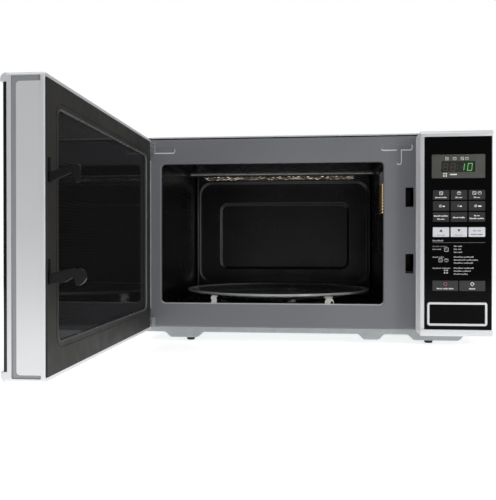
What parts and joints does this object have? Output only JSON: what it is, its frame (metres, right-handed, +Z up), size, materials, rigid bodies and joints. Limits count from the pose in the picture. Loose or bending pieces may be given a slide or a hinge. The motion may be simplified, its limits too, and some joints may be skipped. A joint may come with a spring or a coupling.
{
  "type": "microwave oven",
  "caption": "Countertop microwave oven with grill: boxed cabinet, side-hinged window door standing open, key panel, push-to-open button and glass turntable on rollers.",
  "frame": {"origin": "on the table, under the centre of the cabinet's footprint", "axes": "+Z up, +X to the user's right, the front faces -Y"},
  "size_m": [0.464, 0.6553, 0.268],
  "materials": {
    "grey_enamel": "satin powder coat",
    "black_enamel": "glossy vitreous enamel",
    "cover_paint": "satin silver-grey paint",
    "zinc_steel": "galvanised, lightly spangled",
    "bright_steel": "bright rolled steel",
    "silver_plastic": "satin silver-painted moulding",
    "gloss_black": "high gloss",
    "dark_plastic": "satin dark warm grey",
    "black_plastic": "satin black moulding",
    "key_grey": "satin dark grey",
    "key_light": "satin light silver",
    "display_lens": "smoked grey-green lens",
    "display_led": "seven-segment module with green digits",
    "circuit_board": "solder-masked board",
    "pale_plastic": "natural moulding",
    "aluminium_fins": "pressed sheet",
    "copper_winding": "varnished copper and laminations",
    "foot_rubber": "matt black",
    "mica": "pressed mica sheet",
    "lamp_glass": "warm lamp bulb",
    "heater_sheath": "heat-dulled element",
    "turntable_glass": "clear moulded glass",
    "door_black_glass": "black back-printed glass",
    "window_film": "glossy dark window sheet",
    "screen_steel": "perforated steel, dark coat"
  },
  "bodies": {
    "cabinet": {"base_plate": "zinc_steel", "feet": "foot_rubber", "front_plate": "grey_enamel", "cavity": "black_enamel", "waveguide_cover": "mica", "wrap_cover": "cover_paint", "rear_panel": "zinc_steel", "case_screws": "bright_steel", "upper_hinge": "bright_steel", "lower_hinge": "bright_steel", "control_fascia": "silver_plastic", "panel_insert": "gloss_black", "display_window": "display_lens", "display_module": "display_led", "control_board": "circuit_board", "latch_board": "black_plastic", "interlock_switches": "dark_plastic", "magnetron": "aluminium_fins", "high_voltage_transformer": "copper_winding", "high_voltage_capacitor": "aluminium_fins", "high_voltage_diode": "black_plastic", "fan_motor": "bright_steel", "fan_shroud": "pale_plastic", "oven_lamp": "lamp_glass", "grill_heater": "heater_sheath", "heater_housing": "zinc_steel", "noise_filter": "circuit_board", "cord_inlet": "black_plastic", "turntable_motor": "zinc_steel"},
    "door": {"door_bezel": "silver_plastic", "door_glass": "door_black_glass", "door_frame": "screen_steel", "choke_cover": "dark_plastic", "door_screen": "screen_steel", "inner_window": "window_film", "latch_spring": "bright_steel"},
    "latch_hooks": {"latch_hooks": "black_plastic"},
    "release_button": {"release_button": "black_plastic"},
    "release_slide": {"release_slide": "pale_plastic"},
    "turntable": {"glass_turntable": "turntable_glass", "drive_coupler": "pale_plastic"},
    "roller_ring": {"roller_ring": "dark_plastic"},
    "roller_1": {"roller_1": "pale_plastic"},
    "roller_2": {"roller_2": "pale_plastic"},
    "roller_3": {"roller_3": "pale_plastic"},
    "fan_blade": {"fan_blade": "pale_plastic"},
    "microwave_key": {"microwave_key": "key_grey"},
    "grill_key": {"grill_key": "key_grey"},
    "combination_key": {"combination_key": "key_grey"},
    "ten_minute_key": {"ten_minute_key": "key_grey"},
    "one_minute_key": {"one_minute_key": "key_grey"},
    "ten_second_key": {"ten_second_key": "key_grey"},
    "defrost_key": {"defrost_key": "key_grey"},
    "weight_key": {"weight_key": "key_grey"},
    "menu_key": {"menu_key": "key_grey"},
    "increase_key": {"increase_key": "key_light"},
    "decrease_key": {"decrease_key": "key_light"},
    "clock_key": {"clock_key": "key_light"},
    "stop_key": {"stop_key": "key_grey"},
    "start_key": {"start_key": "key_grey"}
  },
  "joints": [
    {"name": "door_swing", "type": "hinge", "parent": "cabinet", "child": "door", "pos_m": [-0.2125, -0.1565, 0.023], "axis": [0, 0, 1], "range_deg": [-8, 90]},
    {"name": "latch_lift", "type": "slide", "parent": "door", "child": "latch_hooks", "axis": [0, 0, 1], "range_m": [0, 0.006], "stiffness_N_per_m": 300, "springref_m": -0.004, "deforming": ["latch_spring"]},
    {"name": "release_press", "type": "slide", "parent": "cabinet", "child": "release_button", "axis": [0, 1, 0], "range_m": [0, 0.005], "stiffness_N_per_m": 400, "springref_m": -0.002},
    {"name": "release_slide_lift", "type": "slide", "parent": "cabinet", "child": "release_slide", "axis": [0, 0, 1], "range_m": [0, 0.005]},
    {"name": "turntable_spin", "type": "hinge", "parent": "cabinet", "child": "turntable", "pos_m": [-0.05, -0.00485, 0.045], "axis": [0, 0, 1], "continuous": true},
    {"name": "roller_ring_spin", "type": "hinge", "parent": "cabinet", "child": "roller_ring", "pos_m": [-0.05, -0.00485, 0.045], "axis": [0, 0, 1], "continuous": true},
    {"name": "roller_1_spin", "type": "hinge", "parent": "roller_ring", "child": "roller_1", "pos_m": [-0.14303, -0.03871, 0.045], "axis": [-0.9397, -0.342, 0], "continuous": true},
    {"name": "roller_2_spin", "type": "hinge", "parent": "roller_ring", "child": "roller_2", "pos_m": [0.02584, -0.06849, 0.045], "axis": [0.766, -0.6428, 0], "continuous": true},
    {"name": "roller_3_spin", "type": "hinge", "parent": "roller_ring", "child": "roller_3", "pos_m": [-0.03281, 0.09265, 0.045], "axis": [0.1736, 0.9848, 0], "continuous": true},
    {"name": "fan_spin", "type": "hinge", "parent": "cabinet", "child": "fan_blade", "pos_m": [0.161, 0.133, 0.15], "axis": [0, 1, 0], "continuous": true},
    {"name": "microwave_key_press", "type": "slide", "parent": "cabinet", "child": "microwave_key", "axis": [0, 1, 0], "range_m": [0, 0.0006], "stiffness_N_per_m": 500, "springref_m": -0.0005},
    {"name": "grill_key_press", "type": "slide", "parent": "cabinet", "child": "grill_key", "axis": [0, 1, 0], "range_m": [0, 0.0006], "stiffness_N_per_m": 500, "springref_m": -0.0005},
    {"name": "combination_key_press", "type": "slide", "parent": "cabinet", "child": "combination_key", "axis": [0, 1, 0], "range_m": [0, 0.0006], "stiffness_N_per_m": 500, "springref_m": -0.0005},
    {"name": "ten_minute_key_press", "type": "slide", "parent": "cabinet", "child": "ten_minute_key", "axis": [0, 1, 0], "range_m": [0, 0.0006], "stiffness_N_per_m": 500, "springref_m": -0.0005},
    {"name": "one_minute_key_press", "type": "slide", "parent": "cabinet", "child": "one_minute_key", "axis": [0, 1, 0], "range_m": [0, 0.0006], "stiffness_N_per_m": 500, "springref_m": -0.0005},
    {"name": "ten_second_key_press", "type": "slide", "parent": "cabinet", "child": "ten_second_key", "axis": [0, 1, 0], "range_m": [0, 0.0006], "stiffness_N_per_m": 500, "springref_m": -0.0005},
    {"name": "defrost_key_press", "type": "slide", "parent": "cabinet", "child": "defrost_key", "axis": [0, 1, 0], "range_m": [0, 0.0006], "stiffness_N_per_m": 500, "springref_m": -0.0005},
    {"name": "weight_key_press", "type": "slide", "parent": "cabinet", "child": "weight_key", "axis": [0, 1, 0], "range_m": [0, 0.0006], "stiffness_N_per_m": 500, "springref_m": -0.0005},
    {"name": "menu_key_press", "type": "slide", "parent": "cabinet", "child": "menu_key", "axis": [0, 1, 0], "range_m": [0, 0.0006], "stiffness_N_per_m": 500, "springref_m": -0.0005},
    {"name": "increase_key_press", "type": "slide", "parent": "cabinet", "child": "increase_key", "axis": [0, 1, 0], "range_m": [0, 0.0006], "stiffness_N_per_m": 500, "springref_m": -0.0005},
    {"name": "decrease_key_press", "type": "slide", "parent": "cabinet", "child": "decrease_key", "axis": [0, 1, 0], "range_m": [0, 0.0006], "stiffness_N_per_m": 500, "springref_m": -0.0005},
    {"name": "clock_key_press", "type": "slide", "parent": "cabinet", "child": "clock_key", "axis": [0, 1, 0], "range_m": [0, 0.0006], "stiffness_N_per_m": 500, "springref_m": -0.0005},
    {"name": "stop_key_press", "type": "slide", "parent": "cabinet", "child": "stop_key", "axis": [0, 1, 0], "range_m": [0, 0.0006], "stiffness_N_per_m": 500, "springref_m": -0.0005},
    {"name": "start_key_press", "type": "slide", "parent": "cabinet", "child": "start_key", "axis": [0, 1, 0], "range_m": [0, 0.0006], "stiffness_N_per_m": 500, "springref_m": -0.0005}
  ],
  "couplings": [
    {"joint": "release_slide_lift", "follows": "release_press", "ratio": 1},
    {"joint": "roller_ring_spin", "follows": "turntable_spin", "ratio": 0.5},
    {"joint": "roller_1_spin", "follows": "turntable_spin", "ratio": -7.3881},
    {"joint": "roller_2_spin", "follows": "turntable_spin", "ratio": -7.3881},
    {"joint": "roller_3_spin", "follows": "turntable_spin", "ratio": -7.3881}
  ]
}
